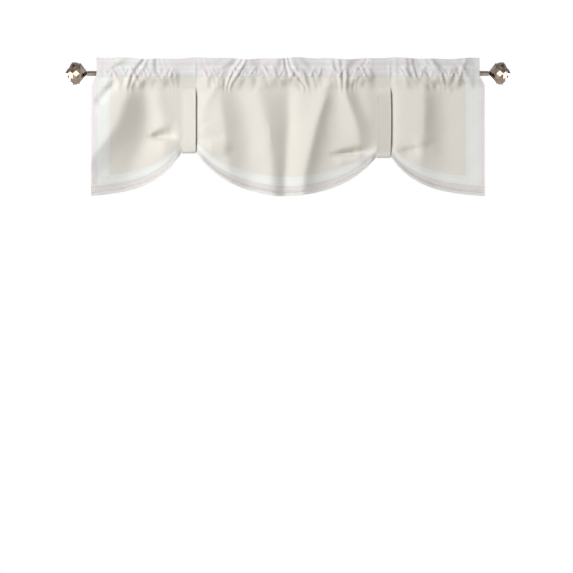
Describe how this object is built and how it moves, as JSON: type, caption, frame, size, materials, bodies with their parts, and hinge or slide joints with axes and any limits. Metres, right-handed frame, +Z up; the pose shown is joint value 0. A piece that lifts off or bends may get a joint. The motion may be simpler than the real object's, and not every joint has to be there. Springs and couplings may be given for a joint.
{
  "type": "tie up curtain",
  "caption": "Gathered window valance with a frilled rod pocket, white bands and two lifting straps, hung on a rod with faceted finials.",
  "frame": {"origin": "middle of the rod's axis", "axes": "+X along the rod to the right as seen from the room, -Y towards the room, +Z up"},
  "size_m": [1.4706, 0.0738, 0.4576],
  "materials": {
    "beige_cloth": "matt woven polyester in warm beige",
    "white_cloth": "matt woven polyester in soft white",
    "edge_trim": "narrow woven trim with fine lines and small beads",
    "rod_metal": "steel tube, polished champagne bronze plating",
    "finial_plating": "faceted resin with polished champagne bronze plating",
    "plug_plastic": "grey moulded plastic"
  },
  "bodies": {
    "root": {"header_band": "white_cloth", "panel": "beige_cloth", "side_band_left": "white_cloth", "side_band_right": "white_cloth", "hem_band": "white_cloth", "side_trim_left": "edge_trim", "side_trim_right": "edge_trim", "hem_trim": "edge_trim", "strap_left": "beige_cloth", "strap_right": "beige_cloth", "rod": "rod_metal", "rod_plug_left": "plug_plastic", "rod_plug_right": "plug_plastic", "finial_left": "finial_plating", "finial_right": "finial_plating"}
  },
  "joints": []
}
